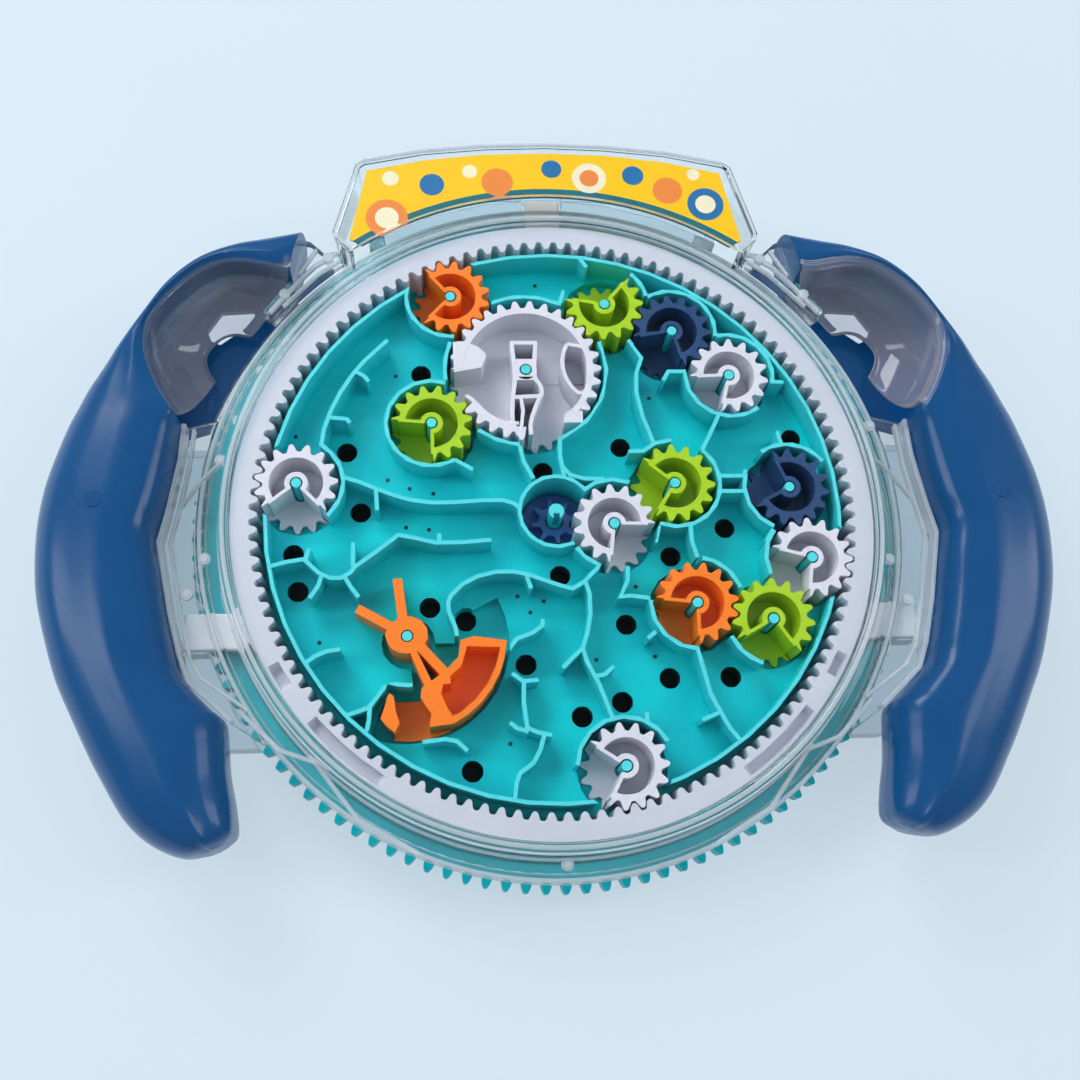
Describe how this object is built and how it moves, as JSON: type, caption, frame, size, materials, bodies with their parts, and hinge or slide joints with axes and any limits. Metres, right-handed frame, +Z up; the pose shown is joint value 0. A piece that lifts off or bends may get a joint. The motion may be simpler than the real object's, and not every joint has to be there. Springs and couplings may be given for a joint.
{
  "type": "gear maze puzzle",
  "caption": "Two-handled puzzle: thumbs turn a maze plate in a clear drum, so the pocketed gears on it roll in a fixed ring and pass a steel ball along.",
  "frame": {"origin": "centre of the bounding box at the table plane, under the back shell", "axes": "+X to the right grip, +Y to the banner edge, +Z up to the viewer, along the turning axis of the maze plate"},
  "size_m": [0.2782, 0.2122, 0.037],
  "materials": {
    "grip_blue": "gloss moulded blue",
    "clear": "clear moulded plastic, polished",
    "label": "printed card, satin",
    "ring_white": "satin white plastic",
    "maze_teal": "satin teal plastic",
    "orange": "satin orange plastic",
    "lime": "satin lime plastic",
    "navy": "satin navy plastic",
    "gear_white": "satin white plastic",
    "steel": "polished steel"
  },
  "bodies": {
    "housing": {"back_shell": "clear", "clear_cover": "clear", "banner_frame": "clear", "banner_label": "label", "ring_gear": "ring_white", "centre_post": "maze_teal", "sun_pinion": "navy", "left_grip_front": "grip_blue", "left_grip_back": "grip_blue", "right_grip_front": "grip_blue", "right_grip_back": "grip_blue", "left_thumb_scoop": "clear", "right_thumb_scoop": "clear", "steel_ball": "steel"},
    "wheel": {"maze_plate": "maze_teal", "thumb_wheel": "maze_teal"},
    "gear_a_body": {"gear_a": "orange"},
    "gear_g_body": {"gear_g": "gear_white"},
    "gear_l_body": {"gear_l": "gear_white"},
    "gear_o_body": {"gear_o": "gear_white"},
    "gear_b_body": {"gear_b": "gear_white"},
    "gear_c_body": {"gear_c": "lime"},
    "gear_f_body": {"gear_f": "lime"},
    "gear_d_body": {"gear_d": "navy"},
    "gear_e_body": {"gear_e": "gear_white"},
    "gear_i_body": {"gear_i": "navy"},
    "gear_n_body": {"gear_n": "lime"},
    "gear_m_body": {"gear_m": "orange"},
    "gear_k_body": {"gear_k": "gear_white"},
    "gear_h_body": {"gear_h": "lime"},
    "lever": {"gate_lever": "orange"}
  },
  "joints": [
    {"name": "wheel_spin", "type": "hinge", "parent": "housing", "child": "wheel", "pos_m": [0, -0.0056, 0], "axis": [0, 0, 1], "continuous": true},
    {"name": "gear_a_spin", "type": "hinge", "parent": "wheel", "child": "gear_a_body", "pos_m": [-0.02812, 0.0597, 0], "axis": [0, 0, 1], "continuous": true},
    {"name": "gear_g_spin", "type": "hinge", "parent": "wheel", "child": "gear_g_body", "pos_m": [-0.07054, 0.00331, 0], "axis": [0, 0, 1], "continuous": true},
    {"name": "gear_l_spin", "type": "hinge", "parent": "wheel", "child": "gear_l_body", "pos_m": [0.06967, -0.01978, 0], "axis": [0, 0, 1], "continuous": true},
    {"name": "gear_o_spin", "type": "hinge", "parent": "wheel", "child": "gear_o_body", "pos_m": [0.01551, -0.07499, 0], "axis": [0, 0, 1], "continuous": true},
    {"name": "gear_b_spin", "type": "hinge", "parent": "wheel", "child": "gear_b_body", "pos_m": [-0.00712, 0.0367, 0], "axis": [0, 0, 1], "continuous": true},
    {"name": "gear_c_spin", "type": "hinge", "parent": "wheel", "child": "gear_c_body", "pos_m": [0.01625, 0.0573, 0], "axis": [0, 0, 1], "continuous": true},
    {"name": "gear_f_spin", "type": "hinge", "parent": "wheel", "child": "gear_f_body", "pos_m": [-0.03379, 0.02061, 0], "axis": [0, 0, 1], "continuous": true},
    {"name": "gear_d_spin", "type": "hinge", "parent": "wheel", "child": "gear_d_body", "pos_m": [0.03536, 0.04871, 0], "axis": [0, 0, 1], "continuous": true},
    {"name": "gear_e_spin", "type": "hinge", "parent": "wheel", "child": "gear_e_body", "pos_m": [0.05095, 0.03472, 0], "axis": [0, 0, 1], "continuous": true},
    {"name": "gear_i_spin", "type": "hinge", "parent": "wheel", "child": "gear_i_body", "pos_m": [0.06528, 0.00071, 0], "axis": [0, 0, 1], "continuous": true},
    {"name": "gear_n_spin", "type": "hinge", "parent": "wheel", "child": "gear_n_body", "pos_m": [0.05748, -0.03681, 0], "axis": [0, 0, 1], "continuous": true},
    {"name": "gear_m_spin", "type": "hinge", "parent": "wheel", "child": "gear_m_body", "pos_m": [0.03709, -0.03199, 0], "axis": [0, 0, 1], "continuous": true},
    {"name": "gear_k_spin", "type": "hinge", "parent": "wheel", "child": "gear_k_body", "pos_m": [0.01576, -0.00932, 0], "axis": [0, 0, 1], "continuous": true},
    {"name": "gear_h_spin", "type": "hinge", "parent": "wheel", "child": "gear_h_body", "pos_m": [0.03323, 0.00224, 0], "axis": [0, 0, 1], "continuous": true},
    {"name": "gate_swing", "type": "hinge", "parent": "wheel", "child": "lever", "pos_m": [-0.04065, -0.03975, 0], "axis": [0, 0, 1], "range_deg": [0, 26]}
  ],
  "couplings": [
    {"joint": "gear_a_spin", "follows": "wheel_spin", "ratio": -8},
    {"joint": "gear_g_spin", "follows": "wheel_spin", "ratio": -8},
    {"joint": "gear_l_spin", "follows": "wheel_spin", "ratio": -8},
    {"joint": "gear_o_spin", "follows": "wheel_spin", "ratio": -8},
    {"joint": "gear_b_spin", "follows": "wheel_spin", "ratio": 4},
    {"joint": "gear_c_spin", "follows": "wheel_spin", "ratio": -8},
    {"joint": "gear_f_spin", "follows": "wheel_spin", "ratio": -8},
    {"joint": "gear_d_spin", "follows": "wheel_spin", "ratio": 8},
    {"joint": "gear_e_spin", "follows": "wheel_spin", "ratio": -8},
    {"joint": "gear_i_spin", "follows": "wheel_spin", "ratio": 8},
    {"joint": "gear_n_spin", "follows": "wheel_spin", "ratio": 8},
    {"joint": "gear_m_spin", "follows": "wheel_spin", "ratio": -8},
    {"joint": "gear_k_spin", "follows": "wheel_spin", "ratio": 0.53333},
    {"joint": "gear_h_spin", "follows": "wheel_spin", "ratio": -0.53333}
  ]
}
